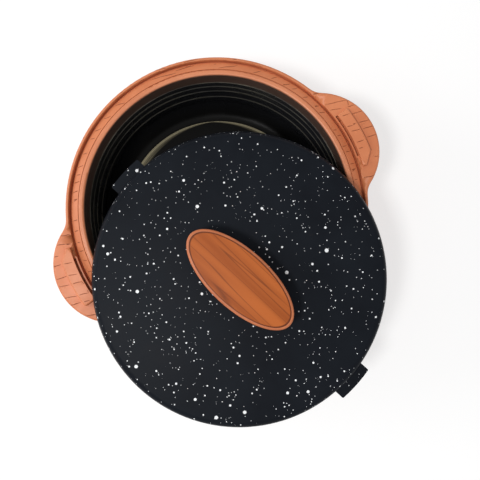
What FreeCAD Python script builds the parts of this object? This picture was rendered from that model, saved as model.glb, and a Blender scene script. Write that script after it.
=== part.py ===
"""Insulated chapati casserole, with its twist-lock lid taken off and laid on the rim.

Millimetres. The origin is on the base's own axis, at the table. +Z is up and the two
ears lie along X. The lid's pieces are modelled in the lid's own frame, with its axis
upright and the foot of its skirt at zero, and are then laid on the rim.
"""
import FreeCAD, Part
import math
import os

from FreeCAD import Vector

# Lip and ears, one outline seen from above
rim_radius = 120.0
rim_height = 84.0
lip_width = 2.8
lip_depth = 9.0
lip_round = 1.9
ear_centre = 93.5
ear_radius = 47.0
ear_blend = 16.0
ear_plate = 2.6
ear_edge_wall = 2.4
ear_rib_angles = (-17.0, 15.0)
ear_rib_thickness = 2.0
ear_rib_depth = 3.6

# Drip channel and carved ring band inside the lip
groove_width = 1.9
groove_depth = 6.0
ring_width = 5.5
ring_fall = 2.0
ring_rise = 0.6
fold_wall = 2.2

# Outer wall
body_wall = 2.6
wall_top_inset = 3.4
wall_waist_inset = 6.6
wall_waist_height = 38.0
wall_foot_inset = 14.0
wall_foot_height = 8.0

# Smooth collar that lines the mouth
collar_width = 5.2
collar_rise = 1.2
collar_ledge = 2.1
collar_seat_depth = 2.0
collar_seat_wall = 2.2
collar_wall = 2.2
collar_crown_round = 1.6
collar_draft = 1.2
mouth_edge_round = 2.0
collar_depth = 14.0
piece_gap = 0.1

# Steel bowl: sheet, flange, three spun steps in its wall, and a round floor corner
bowl_sheet = 0.8
bowl_inset = 0.4
bowl_flange_width = 3.8
bowl_step_heights = (62.0, 52.0, 38.0)
bowl_step = 0.6
bowl_taper_per_step = 0.4
bowl_corner = 14.0
bowl_floor_height = 12.0

# Cover under the base, with its foot ring and the plugged foam hole
cover_wall = 2.2
cover_corner = 6.0
foot_recess = 1.2
foot_ring_inset = 5.6
foot_ring_width = 5.8
foot_flank = 0.6
upstand_height = 5.0
upstand_wall = 1.8
upstand_gap = 0.3
foam_hole_radius = 9.0
plug_cap_radius = 12.0
plug_cap_thickness = 0.8
plug_fit = 0.1

# Lid skirt and dome
lid_side_gap = 2.0
lid_wall = 2.0
skirt_height = 11.0
skirt_draft = 3.0
shoulder_inset = 8.2
shoulder_height = 15.4
shoulder_fullness = 0.7
dome_height = 19.0
skirt_drop = 1.0

# Lid tabs and the catches on the ears that hold them down
tab_reach = 6.8
tab_width = 29.4
tab_thickness = 2.2
tab_corner = 1.0
slide_gap = 0.2
catch_roof = 1.3
catch_setback = 1.2
catch_width = 9.9
catch_open_angle = 9.0
catch_shut_angle = -8.4
catch_bevel_angle = -8.2
catch_tip_angle = -12.8
catch_tip_width = 3.3
catch_round = 1.3
catch_corner = 1.8
catch_mouth_angle = 1.0
lip_ridge = 1.1
tab_end_gap = 1.6
slot_depth = 3.4

# Lid liner, the plug that drops into the mouth
liner_wall = 2.0
plug_depth = 5.2
plug_gap = 1.4
plug_corner = 2.5
liner_edge_height = 8.0
liner_gap = 0.3

# Knob: seat, shell, inlay and its two screws
knob_length = 96.6
knob_width = 42.6
knob_height = 22.0
knob_edge = 4.0
knob_edge_round = 1.4
knob_waist_length = 66.0
knob_waist_width = 25.0
knob_foot_length = 60.0
knob_foot_width = 22.0
knob_waist_height = 9.0
seat_length = 66.0
seat_width = 28.0
seat_height = 2.4
inlay_border = 2.0
inlay_depth = 2.4
inlay_crown = 1.6
inlay_gap = 0.15
screw_spacing = 36.0
screw_radius = 1.9
screw_hole_gap = 0.3
screw_bite = 11.0
screw_head_radius = 4.0
screw_head_height = 2.4
washer_radius = 5.2
washer_thickness = 0.8
boss_radius = 6.5
boss_drop = 1.2
foam_pocket_gap = 1.0

# Where the photographed lid lies, and how it is turned
lid_shift_x = -11.3
lid_shift_y = -57.8
lid_turn = -70.7
lid_rest_gap = 0.3

# Sizes that follow from the ones above
lip_inner_radius = rim_radius - lip_width
ring_radius = lip_inner_radius - groove_width
groove_floor = rim_height - groove_depth
lip_foot = rim_height - lip_depth
collar_radius = ring_radius - ring_width
mouth_radius = collar_radius - collar_width
collar_foot_radius = mouth_radius - collar_draft
crown_height = rim_height + collar_rise
seat_ledge_height = rim_height - collar_seat_depth
collar_foot_height = rim_height - collar_depth
bowl_mouth_radius = collar_foot_radius - bowl_inset
bowl_flange_radius = bowl_mouth_radius + bowl_flange_width
wall_foot_radius = rim_radius - wall_foot_inset
foot_outer_radius = wall_foot_radius - cover_corner - foot_ring_inset
foot_inner_radius = foot_outer_radius - foot_ring_width
lid_radius = lip_inner_radius - lid_side_gap
tab_radius = lid_radius + tab_reach
tab_underside = skirt_drop + slide_gap
tab_top = tab_underside + tab_thickness
catch_ceiling = rim_height + 2 * slide_gap + tab_thickness
catch_top = catch_ceiling + catch_roof
slot_inner_radius = lip_inner_radius + lip_ridge
slot_outer_radius = tab_radius + tab_end_gap
slot_floor = rim_height - slot_depth
catch_inner_radius = slot_inner_radius + catch_setback
catch_outer_radius = catch_inner_radius + catch_width
liner_seat = skirt_drop + collar_rise
plug_bottom = liner_seat - plug_depth
plug_radius = collar_foot_radius - plug_gap
lid_rest_height = crown_height + lid_rest_gap - plug_bottom
dome_rim_radius = lid_radius - shoulder_inset

# Length that a cutting shape runs on past the piece, and a distance that counts as none
above = 10.0
hair = 0.01


def polar(radius, degrees, height=0.0):
    """A point at a radius and an angle about the base's axis."""
    angle = math.radians(degrees)
    return Vector(radius * math.cos(angle), radius * math.sin(angle), height)


def outline_wire(start, steps):
    """A closed wire: each step is a point for a line, or (through, end) for an arc."""
    edges = []
    here = start
    for step in steps:
        if isinstance(step, tuple):
            through, end = step
            edges.append(Part.Arc(here, through, end).toShape())
        else:
            end = step
            edges.append(Part.LineSegment(here, end).toShape())
        here = end
    if here.distanceToPoint(start) > hair:
        edges.append(Part.LineSegment(here, start).toShape())
    return Part.Wire(edges)


def turned(start, steps):
    """A solid of revolution about Z from a section given as (radius, height) pairs."""
    def point(pair):
        return Vector(pair[0], 0.0, pair[1])

    path = []
    for step in steps:
        if isinstance(step[0], tuple):
            path.append((point(step[0]), point(step[1])))
        else:
            path.append(point(step))
    face = Part.Face(outline_wire(point(start), path))
    return face.revolve(Vector(0, 0, 0), Vector(0, 0, 1), 360)


def prism(wire, low, high):
    """A flat outline drawn at height zero, raised from low to high."""
    face = Part.Face(wire)
    face.translate(Vector(0, 0, low))
    return face.extrude(Vector(0, 0, high - low))


def disc(radius, low, high, centre=(0.0, 0.0)):
    """An upright cylinder."""
    return Part.makeCylinder(radius, high - low, Vector(centre[0], centre[1], low))


def sector(inner, outer, first, last, low, high):
    """A stretch of ring between two angles."""
    middle = (first + last) / 2
    wire = outline_wire(polar(inner, first), [
        polar(outer, first),
        (polar(outer, middle), polar(outer, last)),
        polar(inner, last),
        (polar(inner, middle), polar(inner, first)),
    ])
    return prism(wire, low, high)


def quarter_point(centre, radius, degrees):
    """The point that an arc in a turned section passes through."""
    angle = math.radians(degrees)
    return (centre[0] + radius * math.cos(angle), centre[1] + radius * math.sin(angle))


def oval_wire(length, width, height):
    """An ellipse with its long axis along X."""
    ellipse = Part.Ellipse(Vector(0, 0, height), length / 2, width / 2)
    return Part.Wire([ellipse.toShape()])


def edges_at(shape, height):
    """The edges of a shape that lie at a height, its highest."""
    return [edge for edge in shape.Edges if edge.BoundBox.ZMin > height - hair]


def middle_of(edge):
    """The point half way along an edge."""
    return edge.valueAt((edge.FirstParameter + edge.LastParameter) / 2)


def opposite(shape):
    """A copy turned half way round the axis."""
    copy = shape.copy()
    copy.rotate(Vector(0, 0, 0), Vector(0, 0, 1), 180)
    return copy


def one_solid(shape):
    """The joined shape with leftover seams removed."""
    return shape.removeSplitter().Solids[0]


def rim_outline(inset):
    """Lip circle and both ears with their blends, drawn in by an inset."""
    lip = rim_radius - inset
    ear = ear_radius - inset
    blend = ear_blend + inset
    from_axis = lip + blend
    from_ear = ear + blend
    blend_x = (ear_centre ** 2 + from_axis ** 2 - from_ear ** 2) / (2 * ear_centre)
    blend_y = math.sqrt(from_axis ** 2 - blend_x ** 2)
    on_lip = Vector(blend_x, blend_y, 0) * (lip / from_axis)
    to_ear = Vector(ear_centre - blend_x, -blend_y, 0) * (blend / from_ear)
    on_ear = Vector(blend_x, blend_y, 0) + to_ear
    to_axis = on_lip - Vector(blend_x, blend_y, 0)
    half_way = to_axis + to_ear
    on_blend = Vector(blend_x, blend_y, 0) + half_way * (blend / half_way.Length)

    def flip(point, x_sign, y_sign):
        return Vector(point.x * x_sign, point.y * y_sign, 0)

    return outline_wire(flip(on_ear, 1, -1), [
        (Vector(ear_centre + ear, 0, 0), on_ear),
        (on_blend, on_lip),
        (Vector(0, lip, 0), flip(on_lip, -1, 1)),
        (flip(on_blend, -1, 1), flip(on_ear, -1, 1)),
        (Vector(-ear_centre - ear, 0, 0), flip(on_ear, -1, -1)),
        (flip(on_blend, -1, -1), flip(on_lip, -1, -1)),
        (Vector(0, -lip, 0), flip(on_lip, 1, -1)),
        (flip(on_blend, 1, -1), flip(on_ear, 1, -1)),
    ])


def wall_line(inset):
    """Top, waist and foot points of the outer wall, drawn in by an inset."""
    top = (rim_radius - wall_top_inset - inset, lip_foot)
    waist = (rim_radius - wall_waist_inset - inset, wall_waist_height)
    foot = (wall_foot_radius - inset, wall_foot_height)
    return top, waist, foot


def make_lip_and_ears():
    """The rounded lip with both hollow ears, and the ribs and slot troughs under them."""
    plate = prism(rim_outline(0), lip_foot, rim_height)
    plate = plate.makeFillet(lip_round, edges_at(plate, rim_height))
    pocket = prism(rim_outline(ear_edge_wall), lip_foot - above, rim_height - ear_plate)
    pocket = pocket.cut(disc(rim_radius, lip_foot - above, rim_height))
    end_wall_angle = math.degrees(ear_edge_wall / slot_outer_radius)
    trough = sector(lip_inner_radius, slot_outer_radius + ear_edge_wall,
                    catch_shut_angle - end_wall_angle, catch_open_angle + end_wall_angle,
                    slot_floor - ear_plate, rim_height)
    for piece in (trough, opposite(trough)):
        pocket = pocket.cut(piece)
    ribs = []
    for angle in ear_rib_angles:
        rib = Part.makeBox(ear_radius, ear_rib_thickness, ear_rib_depth)
        rib.translate(Vector(lip_inner_radius, -ear_rib_thickness / 2,
                             rim_height - ear_plate - ear_rib_depth))
        rib.rotate(Vector(0, 0, 0), Vector(0, 0, 1), angle)
        ribs.append(rib)
    for rib in list(ribs):
        ribs.append(opposite(rib))
    for rib in ribs:
        pocket = pocket.cut(rib)
    plate = plate.cut(pocket)
    return plate.cut(disc(lip_inner_radius, lip_foot - above, rim_height + above))


def make_catch():
    """The raised catch on the right ear: a square open end and a bevelled shut end."""
    tip_inner = polar(catch_inner_radius, catch_tip_angle)
    tip_outer = polar(catch_inner_radius + catch_tip_width, catch_tip_angle)
    bevel = polar(catch_outer_radius, catch_bevel_angle)
    open_outer = polar(catch_outer_radius, catch_open_angle)
    open_inner = polar(catch_inner_radius, catch_open_angle)
    wire = outline_wire(tip_inner, [
        tip_outer,
        bevel,
        (polar(catch_outer_radius, 0), open_outer),
        open_inner,
        (polar(catch_inner_radius, (catch_open_angle + catch_tip_angle) / 2), tip_inner),
    ])
    block = prism(wire, rim_height - ear_plate / 2, catch_top)

    def is_corner(edge):
        middle = middle_of(edge)
        upright = catch_top - edge.BoundBox.ZMin > catch_roof
        return upright and any(
            math.hypot(middle.x - corner.x, middle.y - corner.y) < hair
            for corner in (bevel, open_outer))

    block = block.makeFillet(catch_corner, [edge for edge in block.Edges if is_corner(edge)])

    def is_outside(edge):
        middle = middle_of(edge)
        return math.hypot(middle.x, middle.y) > catch_inner_radius + hair

    rounds = [edge for edge in edges_at(block, catch_top) if is_outside(edge)]
    return block.makeFillet(catch_round, rounds)


def make_catch_slot():
    """The way under the catch: a slot sunk in the ear and its open end above the ear."""
    sunk = sector(slot_inner_radius, slot_outer_radius, catch_shut_angle,
                  catch_open_angle, slot_floor, catch_ceiling)
    mouth = sector(slot_inner_radius, slot_outer_radius, catch_shut_angle,
                   catch_open_angle + catch_mouth_angle, rim_height, catch_ceiling)
    return sunk, mouth


def make_outer_body():
    """One moulding: outer wall, lip, ears, catches, drip channel and carved ring band."""
    top, waist, foot = wall_line(0)
    inner_top, inner_waist, inner_foot = wall_line(body_wall)
    lip_overlap = lip_inner_radius + lip_ridge / 2
    fold = turned(foot, [
        (waist, top),
        (lip_overlap, lip_foot),
        (lip_overlap, groove_floor),
        (ring_radius, groove_floor),
        (ring_radius, rim_height - ring_fall),
        (collar_radius, rim_height + ring_rise),
        (collar_radius, seat_ledge_height),
        (collar_radius - collar_ledge, seat_ledge_height),
        (collar_radius - collar_ledge, seat_ledge_height - collar_seat_wall),
        (ring_radius - fold_wall, seat_ledge_height - collar_seat_wall),
        (ring_radius - fold_wall, lip_foot),
        inner_top,
        (inner_waist, inner_foot),
    ])
    body = fold.fuse(make_lip_and_ears())
    catch = make_catch()
    sunk, mouth = make_catch_slot()
    for piece in (catch, opposite(catch)):
        body = body.fuse(piece)
    for cutter in (sunk, mouth, opposite(sunk), opposite(mouth)):
        body = body.cut(cutter)
    return one_solid(body)


def make_mouth_collar():
    """The smooth ring that lines the mouth and clamps the bowl's flange."""
    outer = collar_radius - piece_gap
    crown_corner = (outer - collar_crown_round, crown_height - collar_crown_round)
    mouth_corner = (mouth_radius + mouth_edge_round, crown_height - mouth_edge_round)
    wall_top = seat_ledge_height
    return turned((outer, seat_ledge_height), [
        (outer, crown_corner[1]),
        (quarter_point(crown_corner, collar_crown_round, 45), (crown_corner[0], crown_height)),
        (mouth_corner[0], crown_height),
        (quarter_point(mouth_corner, mouth_edge_round, 135), (mouth_radius, mouth_corner[1])),
        (collar_foot_radius, collar_foot_height),
        (collar_foot_radius + collar_wall, collar_foot_height),
        (mouth_radius + collar_wall, wall_top),
    ])


def bowl_line(offset):
    """The bowl's side from flange to floor, grown outwards by an offset."""
    radius = bowl_mouth_radius + offset
    points = [(radius, collar_foot_height - bowl_sheet)]
    for height in bowl_step_heights:
        radius -= bowl_taper_per_step
        points.append((radius, height))
        radius -= bowl_step
        points.append((radius, height - bowl_step))
    radius -= bowl_taper_per_step
    corner = (radius - offset - bowl_corner, bowl_floor_height + bowl_corner)
    points.append((radius, corner[1]))
    bend = bowl_corner + offset
    floor_start = (corner[0], bowl_floor_height - offset)
    points.append((quarter_point(corner, bend, -45), floor_start))
    return points


def make_inner_bowl():
    """The spun steel bowl with its flange under the collar."""
    inside = bowl_line(0)
    outside = bowl_line(bowl_sheet)
    back_up = [outside[-1][1], (outside[-1][0], outside[-2])]
    back_up += list(reversed(outside[:-2]))
    return turned((0.0, bowl_floor_height - bowl_sheet), back_up + [
        (bowl_flange_radius, collar_foot_height - bowl_sheet),
        (bowl_flange_radius, collar_foot_height),
        (bowl_mouth_radius, collar_foot_height),
    ] + inside + [(0.0, bowl_floor_height)])


def make_base_foam():
    """The rigid foam that fills the wall between the bowl and the outer body."""
    outside = bowl_line(bowl_sheet + piece_gap)
    inner_top, inner_waist, inner_foot = wall_line(body_wall + piece_gap)
    cover_top = foot_recess + cover_wall + piece_gap
    upstand_inner = wall_foot_radius - body_wall - upstand_gap - upstand_wall - piece_gap
    fold_underside = seat_ledge_height - collar_seat_wall - piece_gap
    collar_side = bowl_flange_radius + piece_gap
    back_down = outside[1:]
    return turned((0.0, cover_top), [
        (upstand_inner - cover_corner + cover_wall, cover_top),
        (upstand_inner, foot_recess + cover_corner),
        (upstand_inner, wall_foot_height + upstand_height + piece_gap),
        (inner_waist[0] - cover_wall, wall_waist_height),
        (inner_top[0] - piece_gap, lip_foot - piece_gap),
        (ring_radius - fold_wall - piece_gap, lip_foot - piece_gap),
        (ring_radius - fold_wall - piece_gap, fold_underside),
        (collar_side, fold_underside),
        (collar_side, collar_foot_height - bowl_sheet - piece_gap),
        (outside[0][0], collar_foot_height - bowl_sheet - piece_gap),
    ] + back_down + [(0.0, bowl_floor_height - bowl_sheet - piece_gap)])


def make_base_cover():
    """The dish that closes the bottom: foot ring, rounded edge and snap upstand."""
    edge = wall_foot_radius
    corner = (edge - cover_corner, foot_recess + cover_corner)
    inner = edge - body_wall - upstand_gap - upstand_wall
    inner_corner = (inner - cover_corner + cover_wall, foot_recess + cover_corner)
    inner_bend = cover_corner - cover_wall
    return turned((edge, wall_foot_height), [
        (edge, corner[1]),
        (quarter_point(corner, cover_corner, -45), (corner[0], foot_recess)),
        (foot_outer_radius + foot_flank, foot_recess),
        (foot_outer_radius, 0.0),
        (foot_inner_radius, 0.0),
        (foot_inner_radius - foot_flank, foot_recess),
        (foam_hole_radius, foot_recess),
        (foam_hole_radius, foot_recess + cover_wall),
        (inner_corner[0], foot_recess + cover_wall),
        (quarter_point(inner_corner, inner_bend, -45), (inner, inner_corner[1])),
        (inner, wall_foot_height + upstand_height),
        (inner + upstand_wall, wall_foot_height + upstand_height),
        (inner + upstand_wall, wall_foot_height),
    ])


def make_foam_plug():
    """The push-in plug of the hole that the foam was poured through."""
    cap = disc(plug_cap_radius, foot_recess - plug_cap_thickness, foot_recess)
    stem = disc(foam_hole_radius - plug_fit, foot_recess - plug_cap_thickness,
                foot_recess + cover_wall)
    return one_solid(cap.fuse(stem))


def dome_ball():
    """Radius of the ball that the dome is a cap of, and the height of its centre."""
    rise = dome_height - shoulder_height
    ball = (dome_rim_radius ** 2 + rise ** 2) / (2 * rise)
    return ball, dome_height - ball


def dome_solid(inset):
    """The dome's ball, drawn in by an inset, to shape the pieces that touch it."""
    ball, centre = dome_ball()
    return Part.makeSphere(ball - inset, Vector(0, 0, centre))


def lid_line(inset):
    """Section of the lid's outside from the foot of the skirt to the top of the dome."""
    ball, centre = dome_ball()
    reach = ball - inset
    skirt_foot = (lid_radius - inset, 0.0)
    skirt_top = (lid_radius - skirt_draft - inset, skirt_height - inset / 2)
    shoulder_radius = dome_rim_radius - inset / 2
    shoulder = (shoulder_radius, centre + math.sqrt(reach ** 2 - shoulder_radius ** 2))
    bulge = (shoulder[0] + shoulder_fullness * (skirt_top[0] - shoulder[0]),
             shoulder[1] - (1 - shoulder_fullness) * (shoulder[1] - skirt_top[1]))
    half_angle = math.asin(shoulder_radius / reach) / 2
    dome_middle = (reach * math.sin(half_angle), centre + reach * math.cos(half_angle))
    return skirt_foot, skirt_top, bulge, shoulder, dome_middle, (0.0, dome_height - inset)


def knob_screw_places():
    """Where the two screws stand, along the knob."""
    return (-screw_spacing / 2, 0.0), (screw_spacing / 2, 0.0)


def make_tab():
    """One flat tab at the foot of the skirt, on the +X side of the lid."""
    half = tab_width / 2
    root = lid_radius - lid_wall
    half_angle = math.degrees(math.asin(half / tab_radius))
    wire = outline_wire(Vector(root, -half, 0), [
        polar(tab_radius, -half_angle),
        (polar(tab_radius, 0), polar(tab_radius, half_angle)),
        Vector(root, half, 0),
    ])
    tab = prism(wire, tab_underside, tab_top)
    corners = [edge for edge in tab.Edges
               if edge.BoundBox.ZLength > tab_thickness / 2 and edge.BoundBox.XMin > lid_radius]
    return tab.makeFillet(tab_corner, corners)


def make_lid_cover():
    """The speckled outer moulding: skirt, shoulder, dome, tabs and screw bosses."""
    foot, top, bulge, shoulder, middle, crown = lid_line(0)
    in_foot, in_top, in_bulge, in_shoulder, in_middle, in_crown = lid_line(lid_wall)
    shell = turned(foot, [
        top,
        (bulge, shoulder),
        (middle, crown),
        in_crown,
        (in_middle, in_shoulder),
        (in_bulge, in_top),
        in_foot,
    ])
    tab = make_tab()
    for piece in (tab, opposite(tab)):
        shell = shell.fuse(piece)
    boss_foot = dome_height - lid_wall - boss_drop
    for place in knob_screw_places():
        boss = disc(boss_radius, boss_foot, dome_height, place).common(dome_solid(lid_wall / 2))
        shell = shell.fuse(boss)
    for place in knob_screw_places():
        hole = disc(screw_radius + screw_hole_gap, boss_foot - above, dome_height + above, place)
        shell = shell.cut(hole)
    return one_solid(shell)


def liner_side(height):
    """Radius of the skirt's inside at a height, less the liner's clearance."""
    draft = skirt_draft * height / (skirt_height - lid_wall / 2)
    return lid_radius - lid_wall - draft - liner_gap


def make_lid_liner():
    """The food-side liner: a flange on the collar and a shallow plug in the mouth."""
    corner = (plug_radius - plug_corner, plug_bottom + plug_corner)
    inner_bend = plug_corner - liner_wall
    flange_top = liner_seat + liner_wall
    return turned((0.0, plug_bottom), [
        (corner[0], plug_bottom),
        (quarter_point(corner, plug_corner, -45), (plug_radius, corner[1])),
        (plug_radius, liner_seat),
        (liner_side(liner_seat), liner_seat),
        (liner_side(liner_edge_height), liner_edge_height),
        (liner_side(liner_edge_height) - liner_wall, liner_edge_height),
        (liner_side(flange_top) - liner_wall, flange_top),
        (plug_radius - liner_wall, flange_top),
        (plug_radius - liner_wall, corner[1]),
        (quarter_point(corner, inner_bend, -45), (corner[0], plug_bottom + liner_wall)),
        (0.0, plug_bottom + liner_wall),
    ])


def make_lid_foam():
    """The foam disc between the liner and the cover, with pockets for the screw heads."""
    _, _, bulge, shoulder, middle, crown = lid_line(lid_wall + piece_gap)
    flange_top = liner_seat + liner_wall + piece_gap
    wall = plug_radius - liner_wall - piece_gap
    edge = liner_side(liner_edge_height) - liner_wall - piece_gap
    foam = turned((0.0, plug_bottom + liner_wall + piece_gap), [
        (wall - plug_corner, plug_bottom + liner_wall + piece_gap),
        (wall, plug_bottom + liner_wall + plug_corner),
        (wall, flange_top),
        (edge, flange_top),
        (edge, skirt_height - lid_wall),
        shoulder,
        (middle, crown),
    ])
    pocket_foot = dome_height - lid_wall - boss_drop - washer_thickness - screw_head_height
    for place in knob_screw_places():
        foam = foam.cut(disc(boss_radius + foam_pocket_gap, pocket_foot - foam_pocket_gap,
                             dome_height, place))
    return foam.Solids[0]


def make_knob_seat():
    """The black oval seat between the knob and the domed cover."""
    seat = prism(oval_wire(seat_length, seat_width, 0), shoulder_height,
                 dome_height + seat_height)
    seat = seat.cut(dome_solid(0))
    for place in knob_screw_places():
        seat = seat.cut(disc(screw_radius + screw_hole_gap, shoulder_height,
                             dome_height + above, place))
    return seat.Solids[0]


def make_knob_shell():
    """The flared grip with a rounded edge and the recess that takes the inlay."""
    foot = dome_height + seat_height
    top = foot + knob_height
    edge_low = top - knob_edge
    flare = Part.makeLoft([
        oval_wire(knob_foot_length, knob_foot_width, foot),
        oval_wire(knob_waist_length, knob_waist_width, foot + knob_waist_height),
        oval_wire(knob_length, knob_width, edge_low),
    ], True, False)
    rim = prism(oval_wire(knob_length, knob_width, 0), edge_low, top)
    rim = rim.makeFillet(knob_edge_round, edges_at(rim, top))
    recess = prism(oval_wire(knob_length - 2 * inlay_border, knob_width - 2 * inlay_border, 0),
                   top - inlay_depth, top + above)
    shell = flare.fuse(rim).cut(recess)
    for place in knob_screw_places():
        shell = shell.cut(disc(screw_radius, foot - above, foot + screw_bite, place))
    return one_solid(shell)


def make_knob_inlay():
    """The crowned wood-look oval set in the top of the knob."""
    top = dome_height + seat_height + knob_height
    inset = 2 * (inlay_border + inlay_gap)
    plate = prism(oval_wire(knob_length - inset, knob_width - inset, 0),
                  top - inlay_depth, top + above)
    half = knob_length / 2 - inlay_border
    rise = inlay_crown
    ball = (half ** 2 + rise ** 2) / (2 * rise)
    return plate.common(Part.makeSphere(ball, Vector(0, 0, top + rise - ball))).Solids[0]


def make_knob_screws():
    """Two pan-head screws from inside the lid cover up into the knob."""
    seat = dome_height - lid_wall - boss_drop - washer_thickness
    tip = dome_height + seat_height + screw_bite
    screws = []
    for place in knob_screw_places():
        head = disc(screw_head_radius, seat - screw_head_height, seat, place)
        shank = disc(screw_radius, seat - screw_head_height, tip, place)
        screws.append(one_solid(head.fuse(shank)))
    return Part.makeCompound(screws)


def make_knob_washers():
    """A flat washer under each screw head."""
    top = dome_height - lid_wall - boss_drop
    washers = []
    for place in knob_screw_places():
        ring = disc(washer_radius, top - washer_thickness, top, place)
        hole = disc(screw_radius + screw_hole_gap, top - above, top + above, place)
        washers.append(ring.cut(hole).Solids[0])
    return Part.makeCompound(washers)


def lay_on_rim(shape):
    """Turn a piece of the lid, lift it to the rim and shift it to where it lies."""
    shape.rotate(Vector(0, 0, 0), Vector(0, 0, 1), lid_turn)
    shape.translate(Vector(lid_shift_x, lid_shift_y, lid_rest_height))
    return shape


base_pieces = {
    "outer_body": make_outer_body,
    "mouth_collar": make_mouth_collar,
    "inner_bowl": make_inner_bowl,
    "base_foam": make_base_foam,
    "base_cover": make_base_cover,
    "foam_plug": make_foam_plug,
}
lid_pieces = {
    "lid_cover": make_lid_cover,
    "lid_liner": make_lid_liner,
    "lid_foam": make_lid_foam,
    "knob_seat": make_knob_seat,
    "knob_shell": make_knob_shell,
    "knob_inlay": make_knob_inlay,
    "knob_screws": make_knob_screws,
    "knob_washers": make_knob_washers,
}

os.makedirs("parts", exist_ok=True)
for name, make in base_pieces.items():
    make().exportStep("parts/" + name + ".step")
for name, make in lid_pieces.items():
    lay_on_rim(make()).exportStep("parts/" + name + ".step")
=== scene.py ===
import math
import random

import bmesh
import bpy
from mathutils import Matrix, Vector, noise


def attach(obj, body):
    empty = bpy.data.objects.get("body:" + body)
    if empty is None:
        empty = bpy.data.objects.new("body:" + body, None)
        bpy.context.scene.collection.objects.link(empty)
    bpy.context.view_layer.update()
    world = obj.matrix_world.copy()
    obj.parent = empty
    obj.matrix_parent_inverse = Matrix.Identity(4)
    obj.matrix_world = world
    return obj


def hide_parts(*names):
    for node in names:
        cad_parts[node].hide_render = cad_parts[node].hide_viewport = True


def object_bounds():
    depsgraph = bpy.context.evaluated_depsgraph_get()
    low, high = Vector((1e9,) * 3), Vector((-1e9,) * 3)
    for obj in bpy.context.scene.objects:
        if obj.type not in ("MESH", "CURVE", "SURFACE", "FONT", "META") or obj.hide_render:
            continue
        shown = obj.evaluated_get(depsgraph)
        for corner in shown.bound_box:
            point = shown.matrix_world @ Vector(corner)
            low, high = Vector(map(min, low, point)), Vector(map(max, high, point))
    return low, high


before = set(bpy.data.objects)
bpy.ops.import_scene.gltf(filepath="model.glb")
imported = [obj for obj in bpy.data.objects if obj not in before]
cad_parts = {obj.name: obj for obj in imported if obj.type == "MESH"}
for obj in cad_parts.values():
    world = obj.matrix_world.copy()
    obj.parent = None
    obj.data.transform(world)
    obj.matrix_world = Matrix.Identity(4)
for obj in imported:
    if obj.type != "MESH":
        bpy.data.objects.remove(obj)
cad_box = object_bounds()

# Camera
# The photograph looks almost straight down from about 500 mm above the rim, a little off
# the base's axis, and is turned so that the right ear points up to the right.
mm = 0.001
photo_side = 480
photo_focal = 634.4
camera_sensor = 36
camera_place = (-9.8, -45.4, 584)
camera_lean = (2.10, -0.57)
camera_nearest = 10
ear_tilt_in_photo = 28.42


def placed(name, data):
    """A new object in the scene that holds some data."""
    thing = bpy.data.objects.new(name, data)
    bpy.context.scene.collection.objects.link(thing)
    return thing


camera_data = bpy.data.cameras.new("photo_camera")
camera_data.sensor_width = camera_sensor
camera_data.lens = camera_sensor * photo_focal / photo_side
camera_data.clip_start = camera_nearest * mm
camera = placed("photo_camera", camera_data)
camera.location = Vector(camera_place) * mm
camera.rotation_euler = [math.radians(turn) for turn in (*camera_lean, -ear_tilt_in_photo)]
bpy.context.scene.camera = camera

# Studio
# A lamp stands high over the left ear, as the knob's shadow shows. A wide window is lower and
# a little round from it, a pale room fills the rest, and the plain floor looks white.
lamp_azimuth = 183
lamp_elevation = 70
lamp_distance = 1.6
lamp_side = 0.23
lamp_power = 10.6
window_azimuth = 148
window_elevation = 28
window_distance = 1.6
window_side = 0.86
window_power = 8.0
room_light = 0.48
white = (1, 1, 1, 1)
floor_side = 12.0
floor_drop = 0.0002
floor_to_light = (0.92, 0.92, 0.92, 1)
floor_to_eye = (0.44, 0.44, 0.44, 1)
floor_lift = 0.61
floor_roughness = 0.9
mix_colours = (6, 7)
mix_result = 2


def feed(tree, node, inputs):
    """Link a socket, or set a value, on each named input of a node."""
    for name, value in inputs.items():
        if isinstance(value, bpy.types.NodeSocket):
            tree.links.new(value, node.inputs[name])
        else:
            node.inputs[name].default_value = value


def add(tree, kind, inputs=None, **settings):
    """A new node with its settings and inputs."""
    node = tree.nodes.new(kind)
    for name, value in settings.items():
        setattr(node, name, value)
    feed(tree, node, inputs or {})
    return node


def reckon(tree, operation, *values):
    """The result of one sum on numbers or sockets."""
    return add(tree, "ShaderNodeMath", dict(enumerate(values)), operation=operation).outputs[0]


def blended(tree, mask, below, above):
    """The colour below where the mask is 0, and the one above where it is 1."""
    mix = add(tree, "ShaderNodeMix", {"Factor": mask, mix_colours[0]: below,
                                      mix_colours[1]: above}, data_type="RGBA")
    return mix.outputs[mix_result]


def new_material(name):
    """An empty material, its tree and its Principled shader wired to the output."""
    material = bpy.data.materials.new(name)
    material.use_nodes = True
    tree = material.node_tree
    tree.nodes.clear()
    shader = add(tree, "ShaderNodeBsdfPrincipled")
    add(tree, "ShaderNodeOutputMaterial", {"Surface": shader.outputs["BSDF"]})
    return material, tree, shader


def seen_ray(tree):
    """1 on a ray that shows a surface straight, mirrored or through glass, 0 on its light."""
    path = add(tree, "ShaderNodeLightPath")
    seen = path.outputs["Is Camera Ray"]
    for way in ("Is Glossy Ray", "Is Transmission Ray"):
        seen = reckon(tree, "MAXIMUM", seen, path.outputs[way])
    return seen


def dress(piece, material):
    """Give the whole of a piece one material."""
    piece.data.materials.clear()
    piece.data.materials.append(material)


def add_lamp(name, azimuth, elevation, distance, side, power):
    """A square lamp that faces the origin, in degrees, metres and watts."""
    data = bpy.data.lights.new(name, "AREA")
    data.size = side
    data.energy = power
    lamp = placed(name, data)
    way = Matrix.Rotation(math.radians(azimuth), 3, "Z") @ Vector(
        (math.cos(math.radians(elevation)), 0, math.sin(math.radians(elevation))))
    lamp.location = way * distance
    lamp.rotation_euler = way.to_track_quat("Z", "Y").to_euler()


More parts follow.
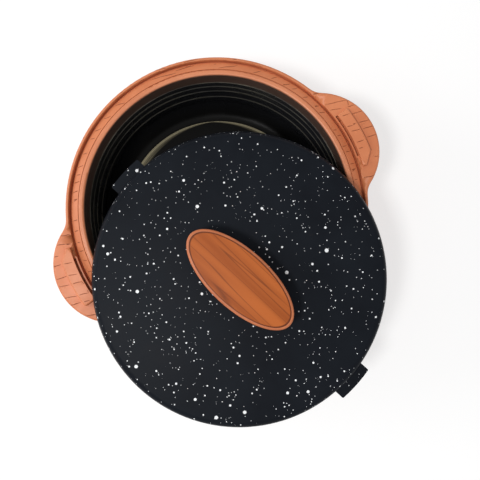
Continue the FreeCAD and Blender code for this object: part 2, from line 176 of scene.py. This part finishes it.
bpy.context.scene.view_settings.view_transform = "Standard"
add_lamp("soft_lamp", lamp_azimuth, lamp_elevation, lamp_distance, lamp_side, lamp_power)
add_lamp("window", window_azimuth, window_elevation, window_distance, window_side, window_power)

world = bpy.data.worlds.new("pale_room")
bpy.context.scene.world = world
world.use_nodes = True
room = world.node_tree
room.nodes.clear()
room_level = reckon(room, "MULTIPLY_ADD", seen_ray(room), 1 - room_light, room_light)
background = add(room, "ShaderNodeBackground", {"Color": white, "Strength": room_level})
add(room, "ShaderNodeOutputWorld", {"Surface": background.outputs[0]})

floor_mesh = bpy.data.meshes.new("floor")
floor_shape = bmesh.new()
bmesh.ops.create_grid(floor_shape, x_segments=1, y_segments=1, size=floor_side / 2)
bmesh.ops.translate(floor_shape, verts=floor_shape.verts, vec=(0, 0, cad_box[0][2] - floor_drop))
floor_shape.to_mesh(floor_mesh)
floor_shape.free()
floor = placed("floor", floor_mesh)

# To the camera the floor is a darker colour plus a lift, which come to white in plain light.
white_floor, tree, shader = new_material("white_floor")
floor_seen = seen_ray(tree)
feed(tree, shader, {
    "Base Color": blended(tree, floor_seen, floor_to_light, floor_to_eye),
    "Roughness": floor_roughness,
    "Specular IOR Level": 0,
    "Emission Color": white,
    "Emission Strength": reckon(tree, "MULTIPLY", floor_seen, floor_lift)})
dress(floor, white_floor)

# Outer body
# One moulding in matt terracotta plastic: wall, lip, ears and catches. The mould was carved
# like split wood, so fine grooves cross the ears, the catches, the lip and the sloping band.
lip_edge = 120.0
lip_top = 84.0
lip_bend = 1.9
lip_margin = 0.5
channel_outside = 117.2
channel_margin = 0.6
band = (109.8, 115.3)
band_heights = (84.6, 82.0)
band_margins = (0.5, 0.4)
ear_middle = 93.5
ear_round = 47.0
catch_reach = (119.5, 129.4)
catch_degrees = (-12.8, 10.0)
catch_margin = 0.7
catch_margin_degrees = 0.6
catch_top = 87.9
catch_top_degrees = (-10.4, 8.4)
catch_top_margins = (0.7, 1.2)

grain_angle = -14
grain_seed = 11
grain_overhang = 10
grain_gap = (5.0, 9.6)
block_length = (14, 46)
block_step = (-1.6, 1.6)
along_chance = 0.9
joint_chance = 0.5
joint_lean = (2.0, 5.0)
crossing_chance = 0.1
crossing_lean = (-6, 6)
groove_radius = 0.4
groove_lift = 0.16
groove_step = 1.2
groove_fewest_points = 3
groove_highest_step = 0.8
groove_taper = 5.0
groove_taper_most = 0.25
groove_end_share = 0.55
groove_taper_share = 0.45
groove_wander = ((2.0, 0.024, 3.1), (0.8, 0.12, 7.7))
weld_distance = 0.001
sharp_angle = 20

mottle_patches = {"Detail": 4.0, "Roughness": 0.6}
mottle_pits = {"Detail": 2.0, "Roughness": 0.5}
mottle_spread = (0.3, 0.7)
pit_strength = 0.5
sheen_spread = (-0.05, 0.07)


def rgb(red, green, blue):
    """A colour as it looks on screen, 0 to 255, as the linear colour that nodes take."""
    def linear(value):
        value /= 255
        return value / 12.92 if value <= 0.04045 else ((value + 0.055) / 1.055) ** 2.4
    return linear(red), linear(green), linear(blue), 1.0


terracotta = rgb(214, 131, 88)
terracotta_dark = rgb(201, 117, 75)
# The groove faces are painted darker than the body, as shade inside the grooves.
groove_shade_colour = rgb(166, 92, 56)
groove_shade_darker = rgb(128, 66, 38)


def object_place(tree):
    """The shaded point on the piece itself."""
    return add(tree, "ShaderNodeTexCoord").outputs["Object"]


def noisy(tree, place, scale, settings):
    """Soft noise from 0 to 1, with the noise node's own settings."""
    return add(tree, "ShaderNodeTexNoise",
               {"Vector": place, "Scale": scale, **settings}).outputs["Fac"]


def spread_out(tree, value, taken, given=(0, 1)):
    """A value's taken range stretched to the given one, and held at its ends."""
    return add(tree, "ShaderNodeMapRange", {
        "Value": value, "From Min": taken[0], "From Max": taken[1],
        "To Min": given[0], "To Max": given[1]}).outputs["Result"]


def bumped(tree, height, strength, depth):
    """The way a surface faces when a height mask raises it, with the depth in mm."""
    return add(tree, "ShaderNodeBump", {"Height": height, "Strength": strength,
                                        "Distance": depth * mm}).outputs["Normal"]


def mottle_group():
    """Uneven tone and fine pitting, for everything here that is moulded, painted or plated."""
    group = bpy.data.node_groups.new("moulded_mottle", "ShaderNodeTree")
    face = group.interface
    face.new_socket("Patch Scale", in_out="INPUT", socket_type="NodeSocketFloat")
    face.new_socket("Pit Scale", in_out="INPUT", socket_type="NodeSocketFloat")
    face.new_socket("Tone", in_out="OUTPUT", socket_type="NodeSocketFloat")
    face.new_socket("Pits", in_out="OUTPUT", socket_type="NodeSocketFloat")
    source = add(group, "NodeGroupInput")
    place = object_place(group)
    patches = noisy(group, place, source.outputs["Patch Scale"], mottle_patches)
    pits = noisy(group, place, source.outputs["Pit Scale"], mottle_pits)
    add(group, "NodeGroupOutput", {"Tone": spread_out(group, patches, mottle_spread),
                                   "Pits": pits})
    return group


mottle = mottle_group()


def mottled(tree, patch, pit):
    """The mottle's tone and pits, at scales of their own."""
    surface = add(tree, "ShaderNodeGroup", {"Patch Scale": patch, "Pit Scale": pit},
                  node_tree=mottle)
    return surface.outputs["Tone"], surface.outputs["Pits"]


def moulded_plastic(name, colour, darker, roughness, patch=45.0, pit=1800.0, pit_depth=0.03,
                    specular=0.35):
    """Coloured plastic from a mould: uneven tone, slight sheen change and fine pitting."""
    material, tree, shader = new_material(name)
    tone, pits = mottled(tree, patch, pit)
    feed(tree, shader, {
        "Base Color": blended(tree, tone, colour, darker),
        "Roughness": spread_out(tree, tone, (0, 1), [roughness + more for more in sheen_spread]),
        "Specular IOR Level": specular,
        "Normal": bumped(tree, pits, pit_strength, pit_depth)})
    return material


def edge_distance(x, y):
    """How far a point lies inside the outline of the lip and ears."""
    on_lip = lip_edge - math.hypot(x, y)
    on_ear = ear_round - math.hypot(abs(x) - ear_middle, y)
    return max(on_lip, on_ear)


def skin_height(x, y):
    """Height of the carved skin over a point, or None where nothing is carved."""
    radius = math.hypot(x, y)
    if band[0] + band_margins[0] < radius < band[1] - band_margins[1]:
        share = (radius - band[0]) / (band[1] - band[0])
        return band_heights[0] + share * (band_heights[1] - band_heights[0])
    if radius < channel_outside + channel_margin:
        return None
    turn = math.degrees(math.atan2(y, x) if x > 0 else math.atan2(-y, -x))
    on_catch = catch_degrees[0] - catch_margin_degrees < turn < catch_degrees[1]
    if on_catch and radius < catch_reach[1] + catch_margin:
        on_top = catch_top_degrees[0] < turn < catch_top_degrees[1]
        inner = catch_reach[0] + catch_top_margins[0]
        outer = catch_reach[1] - catch_top_margins[1]
        return catch_top if on_top and inner < radius < outer else None
    inside = edge_distance(x, y)
    if inside < lip_margin:
        return None
    if inside > lip_bend:
        return lip_top
    return lip_top - lip_bend + math.sqrt(lip_bend ** 2 - (lip_bend - inside) ** 2)


def wander(x, y):
    """How far a grain line strays sideways at a point."""
    return sum(reach * noise.noise(Vector((x * waves, y * waves, layer)))
               for reach, waves, layer in groove_wander)


def groove_runs(start, end):
    """The stretches of a straight line in plan that lie on the carved skin."""
    along = end - start
    steps = max(groove_fewest_points - 1, round(along.length / groove_step))
    side = Vector((-along.y, along.x)).normalized()
    run = []
    for count in range(steps + 1):
        point = start + along * (count / steps)
        point = point + side * wander(point.x, point.y)
        height = skin_height(point.x, point.y)
        if height is None or (run and abs(height - run[-1].z) > groove_highest_step):
            if len(run) >= groove_fewest_points:
                yield run
            run = []
        if height is not None:
            run.append(Vector((point.x, point.y, height)))
    if len(run) >= groove_fewest_points:
        yield run


def grain_lines():
    """Long lines along the grain, broken and stepped, with short ones across them."""
    picker = random.Random(grain_seed)
    reach = ear_middle + ear_round + grain_overhang
    turn = Matrix.Rotation(math.radians(grain_angle), 2)
    lines = []
    across = -reach
    while across < reach:
        gap = picker.uniform(*grain_gap)
        along = -reach
        step = 0.0
        while along < reach:
            length = picker.uniform(*block_length)
            new_step = picker.uniform(*block_step)
            block_end = (along + length, across + step)
            if picker.random() < along_chance:
                lines.append(((along, across + step), block_end))
            if picker.random() < joint_chance:
                lean = picker.uniform(*joint_lean)
                lines.append((block_end, (along + length + lean, across + new_step)))
            if picker.random() < crossing_chance:
                lean = picker.uniform(*crossing_lean)
                lines.append((block_end, (along + length + lean, across + gap + new_step)))
            along += length
            step = new_step
        across += gap
    for start, end in lines:
        yield turn @ Vector(start), turn @ Vector(end)


def add_groove(curve, run):
    """One groove along a run of points, thinner towards its ends."""
    spline = curve.splines.new("POLY")
    spline.points.add(len(run) - 1)
    total = sum((b - a).length for a, b in zip(run, run[1:]))
    taper = min(groove_taper, groove_taper_most * total)
    travelled = 0.0
    for count, point in enumerate(run):
        if count:
            travelled += (point - run[count - 1]).length
        from_end = min(travelled, total - travelled) / taper
        spline.points[count].co = (point.x * mm, point.y * mm, (point.z + groove_lift) * mm, 1)
        spline.points[count].radius = groove_end_share + groove_taper_share * min(1, from_end)


def merged_copy(node):
    """A node's mesh with its loose triangles joined."""
    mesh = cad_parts[node].data.copy()
    shape = bmesh.new()
    shape.from_mesh(mesh)
    bmesh.ops.remove_doubles(shape, verts=shape.verts, dist=weld_distance * mm)
    shape.to_mesh(mesh)
    shape.free()
    return mesh


def finished_mesh(body):
    """The mesh of an object with its modifiers applied. The object itself goes."""
    result = bpy.data.meshes.new_from_object(
        body.evaluated_get(bpy.context.evaluated_depsgraph_get()))
    bpy.data.objects.remove(body)
    return result


def cut_away(mesh, cutter):
    """A mesh with another one cut out of it, faces of the cut keeping the cutter's material."""
    body = placed("cut_body", mesh)
    tool = placed("cut_tool", cutter)
    change = body.modifiers.new("carve", "BOOLEAN")
    change.operation = "DIFFERENCE"
    change.solver = "EXACT"
    change.use_self = True
    change.material_mode = "TRANSFER"
    change.object = tool
    result = finished_mesh(body)
    bpy.data.objects.remove(tool)
    return result


def evenly_shaded(mesh):
    """Smooth shading with sharp edges, where wide faces keep their own direction."""
    mesh.shade_smooth()
    mesh.set_sharp_from_angle(angle=math.radians(sharp_angle))
    body = placed("shaded_body", mesh)
    weigh = body.modifiers.new("weigh", "WEIGHTED_NORMAL")
    weigh.keep_sharp = True
    weigh.weight = 100
    return finished_mesh(body)


groove_curve = bpy.data.curves.new("grooves", "CURVE")
groove_curve.dimensions = "3D"
groove_curve.bevel_depth = groove_radius * mm
groove_curve.bevel_resolution = 1
groove_curve.use_fill_caps = True
for start, end in grain_lines():
    for run in groove_runs(start, end):
        add_groove(groove_curve, run)
groove_object = placed("grooves", groove_curve)
groove_mesh = bpy.data.meshes.new_from_object(groove_object)
bpy.data.objects.remove(groove_object)

body_plastic = moulded_plastic("terracotta_plastic", terracotta, terracotta_dark,
                               roughness=0.44, specular=0.38)
# The grooves' own faces take a darker colour, painted shade inside the grooves.
groove_painted_shade = moulded_plastic("groove_painted_shade", groove_shade_colour, groove_shade_darker, roughness=0.6)
body_mesh = merged_copy("outer_body")
for mesh, plastic in ((body_mesh, body_plastic), (groove_mesh, groove_painted_shade)):
    mesh.materials.clear()
    mesh.materials.append(plastic)
carved_mesh = evenly_shaded(cut_away(body_mesh, groove_mesh))
carved_mesh.name = "carved_body"
carved_body = placed("carved_body", carved_mesh)
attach(carved_body, "base")
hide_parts("outer_body")

# Mouth collar
# A smooth ring in the same plastic, snapped into the body's ledge over the bowl's flange.
# It has a satin sheen, and its wall below the crown is coloured a dark brown-grey.
mouth_wall = 104.7
mouth_crown = 105.6
mouth_wall_dark = rgb(80, 61, 53)
collar_colour = rgb(216, 136, 95)
collar_dark = rgb(200, 120, 80)


def round_axis(tree, place):
    """How far a point is from the base's axis, and how high it is."""
    parts = add(tree, "ShaderNodeSeparateXYZ", {"Vector": place})
    flat = add(tree, "ShaderNodeCombineXYZ", {"X": parts.outputs["X"], "Y": parts.outputs["Y"]})
    length = add(tree, "ShaderNodeVectorMath", {0: flat.outputs[0]}, operation="LENGTH")
    return length.outputs["Value"], parts.outputs["Z"]


collar_plastic = moulded_plastic("collar_plastic", collar_colour, collar_dark, roughness=0.38,
                                 patch=30.0, pit=2600.0, pit_depth=0.015, specular=0.45)
tree = collar_plastic.node_tree
shader = next(node for node in tree.nodes if node.type == "BSDF_PRINCIPLED")
from_axis, height = round_axis(tree, object_place(tree))
# Below the crown the wall is coloured a dark brown-grey.
crown_share = spread_out(tree, from_axis, (mouth_wall * mm, mouth_crown * mm))
crown_colour = shader.inputs["Base Color"].links[0].from_socket
feed(tree, shader, {"Base Color": blended(tree, crown_share, mouth_wall_dark, crown_colour)})
dress(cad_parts["mouth_collar"], collar_plastic)

# Inner bowl
# Spun steel sheet with a near-black lining. The spinning tool left fine rings. Metallic lines
# along the steps in the wall are painted highlights, and a pale metallic crescent round the
# floor's edge is a painted reflection.
bowl_wall_colour = (0.0165, 0.0172, 0.02, 1)
bowl_floor_colour = (0.0035, 0.0033, 0.003, 1)
bowl_specular = 0.06
floor_level = 12.0
wall_start = 34.0
ring_pitch = 1.1
ring_detail = {"Detail": 3.0}
ring_bump = (0.3, 0.02)
smear_scale = 28.0
smear_detail = {"Detail": 5.0}
smear_range = (0.35, 0.7)
bowl_roughness = (0.2, 0.34)
# The metallic lines along the steps are painted highlights.
step_highlight_colour = rgb(128, 124, 112)
step_heights = (70.0, 61.7, 51.7, 37.7)
step_reach = (0.15, 0.6)
step_patches = (0.38, 0.62)
step_highlight_strength = (0.15, 0.9)
# The pale metallic crescent round the floor's edge is a painted reflection.
crescent_reflection_colour = rgb(138, 130, 106)
crescent_radius = 84.2
crescent_widths = (0.5, 8.4)
crescent_axis = (0.918, -0.397, 0)
crescent_fade = (0.35, 1)
crescent_ring_range = (0.4, 0.6)
crescent_ring_strength = (0.2, 1)


def painted_step_highlights(tree, height, smears):
    """Patchy metallic lines along the steps in the wall, painted highlights that the steps catch.
    """
    step_lines = None
    for step_height in step_heights:
        away = reckon(tree, "ABSOLUTE", reckon(tree, "SUBTRACT", height, step_height * mm))
        line = spread_out(tree, away, [reach * mm for reach in step_reach], (1, 0))
        step_lines = reckon(tree, "MAXIMUM", step_lines, line) if step_lines else line
    patches = spread_out(tree, smears, step_patches, step_highlight_strength)
    return reckon(tree, "MULTIPLY", step_lines, patches)


def painted_crescent_reflection(tree, place, from_axis, rings):
    """A painted reflection: a pale band inside the floor's edge, widest on the two sides along its
    axis.
    """
    along_axis = add(tree, "ShaderNodeVectorMath", {0: place, 1: crescent_axis},
                     operation="DOT_PRODUCT").outputs["Value"]
    side_share = reckon(tree, "ABSOLUTE", reckon(tree, "DIVIDE", along_axis, from_axis))
    width = spread_out(tree, side_share, (0, 1), [width * mm for width in crescent_widths])
    from_edge = reckon(tree, "SUBTRACT", crescent_radius * mm, from_axis)
    across = reckon(tree, "DIVIDE", from_edge, width)
    fading = spread_out(tree, across, crescent_fade, (1, 0))
    within = reckon(tree, "GREATER_THAN", across, 0)
    ring_breaks = spread_out(tree, rings, crescent_ring_range, crescent_ring_strength)
    whole = reckon(tree, "MULTIPLY", fading, within)
    return reckon(tree, "MULTIPLY", whole, ring_breaks)


bowl_lining, tree, shader = new_material("dark_bowl_lining")
place = object_place(tree)
from_axis, height = round_axis(tree, place)
down_side = reckon(tree, "SUBTRACT", from_axis, height)
ring_line = add(tree, "ShaderNodeCombineXYZ", {"X": down_side}).outputs[0]
rings = noisy(tree, ring_line, 1 / (ring_pitch * mm), ring_detail)
smears = noisy(tree, place, smear_scale, smear_detail)
up_wall = spread_out(tree, height, (floor_level * mm, wall_start * mm))
step_highlight_mask = painted_step_highlights(tree, height, smears)
crescent_reflection_mask = painted_crescent_reflection(tree, place, from_axis, rings)
lining = blended(tree, up_wall, bowl_floor_colour, bowl_wall_colour)
lining = blended(tree, step_highlight_mask, lining, step_highlight_colour)
lining = blended(tree, crescent_reflection_mask, lining, crescent_reflection_colour)
feed(tree, shader, {
    "Base Color": lining,
    "Metallic": reckon(tree, "MAXIMUM", step_highlight_mask, crescent_reflection_mask),
    "Roughness": spread_out(tree, smears, smear_range, bowl_roughness),
    "Specular IOR Level": bowl_specular,
    "Normal": bumped(tree, rings, *ring_bump)})
dress(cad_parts["inner_bowl"], bowl_lining)

# Base foam
# Rigid foam poured between bowl and body. It fills the wall and shows nowhere.
foam_cell = 1.4
foam_bump = (0.8, 0.3)
foam_roughness = 0.9
foam_dark = rgb(214, 196, 150)
foam_pale = rgb(240, 230, 196)

foam, tree, shader = new_material("rigid_foam")
cells = add(tree, "ShaderNodeTexVoronoi", {"Vector": object_place(tree),
                                           "Scale": 1 / (foam_cell * mm)}).outputs["Distance"]
feed(tree, shader, {
    "Base Color": blended(tree, cells, foam_dark, foam_pale),
    "Roughness": foam_roughness,
    "Normal": bumped(tree, cells, *foam_bump)})
dress(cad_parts["base_foam"], foam)

# Base cover and its plug
# A dish in the body's plastic, snapped in under the foam, with the ring that the casserole
# stands on. The black plug is pushed into the hole that the foam was poured through.
cover_colour = rgb(200, 122, 84)
cover_dark = rgb(182, 104, 68)
black_colour = rgb(34, 34, 36)
black_dark = rgb(26, 26, 28)

cover_plastic = moulded_plastic("cover_plastic", cover_colour, cover_dark, roughness=0.55)
black_plastic = moulded_plastic("black_plastic", black_colour, black_dark, roughness=0.45,
                                specular=0.3)
dress(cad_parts["base_cover"], cover_plastic)
dress(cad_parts["foam_plug"], black_plastic)

# Lid cover
# Matt blue-black plastic with white flecks in its paint, one moulding with the skirt and
# both tabs. A few faint brown rubs show on it.
lid_colour = rgb(15, 18, 24)
lid_paler = rgb(22, 26, 32)
lid_patch_scale = 22.0
lid_pit_scale = 1500.0
lid_bump = (0.5, 0.03)
lid_roughness = (0.42, 0.52)
lid_specular = 0.06
rub_colour = rgb(56, 46, 40)
rub_scale = 42.0
rub_detail = {"Detail": 6.0, "Roughness": 0.75}
rub_range = (0.66, 0.76)
rub_strength = (0, 0.35)
fleck_colour = rgb(238, 240, 242)
fleck_sizes = ((7.0, 1.5, 0.8, 0.16), (4.0, 0.8, 0.4, 0.36), (2.3, 0.38, 0.14, 0.5))


def paint_flecks(tree, place):
    """Round flecks of each size: cell, largest and smallest radius, share of cells with one."""
    flecks = None
    for cell, largest, smallest, share in fleck_sizes:
        spots = add(tree, "ShaderNodeTexVoronoi", {"Vector": place, "Scale": 1 / (cell * mm)})
        chance = add(tree, "ShaderNodeSeparateColor", {"Color": spots.outputs["Color"]})
        kept = reckon(tree, "LESS_THAN", chance.outputs["Red"], share)
        size = spread_out(tree, chance.outputs["Green"], (0, 1), (smallest / cell, largest / cell))
        inside = reckon(tree, "LESS_THAN", spots.outputs["Distance"], size)
        spot = reckon(tree, "MULTIPLY", kept, inside)
        flecks = reckon(tree, "MAXIMUM", flecks, spot) if flecks else spot
    return flecks


lid_paint, tree, shader = new_material("speckled_lid_paint")
place = object_place(tree)
tone, pits = mottled(tree, lid_patch_scale, lid_pit_scale)
rub_noise = noisy(tree, place, rub_scale, rub_detail)
rubs = spread_out(tree, rub_noise, rub_range, rub_strength)
paint = blended(tree, tone, lid_colour, lid_paler)
paint = blended(tree, rubs, paint, rub_colour)
paint = blended(tree, paint_flecks(tree, place), paint, fleck_colour)
feed(tree, shader, {
    "Base Color": paint,
    "Roughness": spread_out(tree, tone, (0, 1), lid_roughness),
    "Specular IOR Level": lid_specular,
    "Normal": bumped(tree, pits, *lid_bump)})
dress(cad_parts["lid_cover"], lid_paint)

# Lid liner and foam
# The food side of the lid: a black liner whose shallow plug drops into the mouth, with a
# disc of rigid foam between it and the cover.
liner_colour = rgb(30, 31, 34)
liner_dark = rgb(24, 25, 28)

liner_plastic = moulded_plastic("liner_plastic", liner_colour, liner_dark, roughness=0.35,
                                specular=0.3)
dress(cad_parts["lid_liner"], liner_plastic)
dress(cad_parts["lid_foam"], foam)

# Knob
# A flared oval grip moulded in terracotta plastic on a black seat. The oval set in its top
# is printed like wood, with dark streaks along its length.
knob_colour = rgb(196, 116, 74)
knob_dark = rgb(180, 100, 60)
knob_turn = -70.7
knob_middle = (-11.3, -57.8)
inlay_half = (46.15, 19.15)
wood_light = rgb(186, 100, 46)
wood_deep = rgb(150, 74, 30)
wood_line = rgb(104, 50, 24)
wood_roughness = 0.42
wood_specular = 0.15
wood_bump = (0.3, 0.1)
band_stretch = (5, 95, 0)
band_detail = {"Detail": 2.0, "Distortion": 0.3}
deep_until = 0.34
light_from = 0.66
line_stretch = (4, 120, 0)
line_detail = {"Detail": 1.0}
line_middle = 0.5
line_width = 0.022
line_strength = 0.7
edge_line = (0.968, 0.982)


def streaks(tree, place, stretch, detail):
    """Noise drawn out along the knob."""
    drawn_out = add(tree, "ShaderNodeMapping", {"Vector": place, "Scale": stretch})
    return noisy(tree, drawn_out.outputs[0], 1.0, detail)


knob_plastic = moulded_plastic("knob_plastic", knob_colour, knob_dark, roughness=0.42,
                               patch=60.0)
dress(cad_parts["knob_seat"], black_plastic)
dress(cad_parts["knob_shell"], knob_plastic)

wood_print, tree, shader = new_material("wood_look_inlay")
along_knob = add(tree, "ShaderNodeMapping", {
    "Vector": object_place(tree),
    "Location": (knob_middle[0] * mm, knob_middle[1] * mm, 0),
    "Rotation": (0, 0, math.radians(knob_turn))}, vector_type="TEXTURE").outputs[0]
bands = streaks(tree, along_knob, band_stretch, band_detail)
band_ramp = add(tree, "ShaderNodeValToRGB", {"Fac": bands})
deep_stop, light_stop = band_ramp.color_ramp.elements
deep_stop.position = deep_until
deep_stop.color = wood_deep
light_stop.position = light_from
light_stop.color = wood_light

# Thin dark lines run where a noise passes its middle, and one more runs just inside the rim.
line_noise = streaks(tree, along_knob, line_stretch, line_detail)
from_line = reckon(tree, "ABSOLUTE", reckon(tree, "SUBTRACT", line_noise, line_middle))
lines = spread_out(tree, from_line, (0, line_width), (line_strength, 0))
inlay_share = add(tree, "ShaderNodeVectorMath", {
    0: along_knob, 1: (1 / (inlay_half[0] * mm), 1 / (inlay_half[1] * mm), 0)},
    operation="MULTIPLY").outputs[0]
to_edge = add(tree, "ShaderNodeVectorMath", {0: inlay_share}, operation="LENGTH")
rim_line = spread_out(tree, to_edge.outputs["Value"], edge_line)
marks = reckon(tree, "MAXIMUM", lines, rim_line)
feed(tree, shader, {
    "Base Color": blended(tree, marks, band_ramp.outputs["Color"], wood_line),
    "Roughness": wood_roughness,
    "Specular IOR Level": wood_specular,
    "Normal": bumped(tree, bands, *wood_bump)})
dress(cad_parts["knob_inlay"], wood_print)

# Knob screws and washers
# Two zinc-plated screws with washers come up through the cover into the knob, under the foam.
zinc_pale = rgb(186, 188, 192)
zinc_dark = rgb(160, 162, 168)
zinc_patch_scale = 300.0
zinc_pit_scale = 3000.0
zinc_roughness = 0.35

zinc, tree, shader = new_material("zinc_plate")
tone, pits = mottled(tree, zinc_patch_scale, zinc_pit_scale)
feed(tree, shader, {
    "Base Color": blended(tree, tone, zinc_pale, zinc_dark),
    "Metallic": 1.0,
    "Roughness": zinc_roughness})
for node in ("knob_screws", "knob_washers"):
    dress(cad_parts[node], zinc)
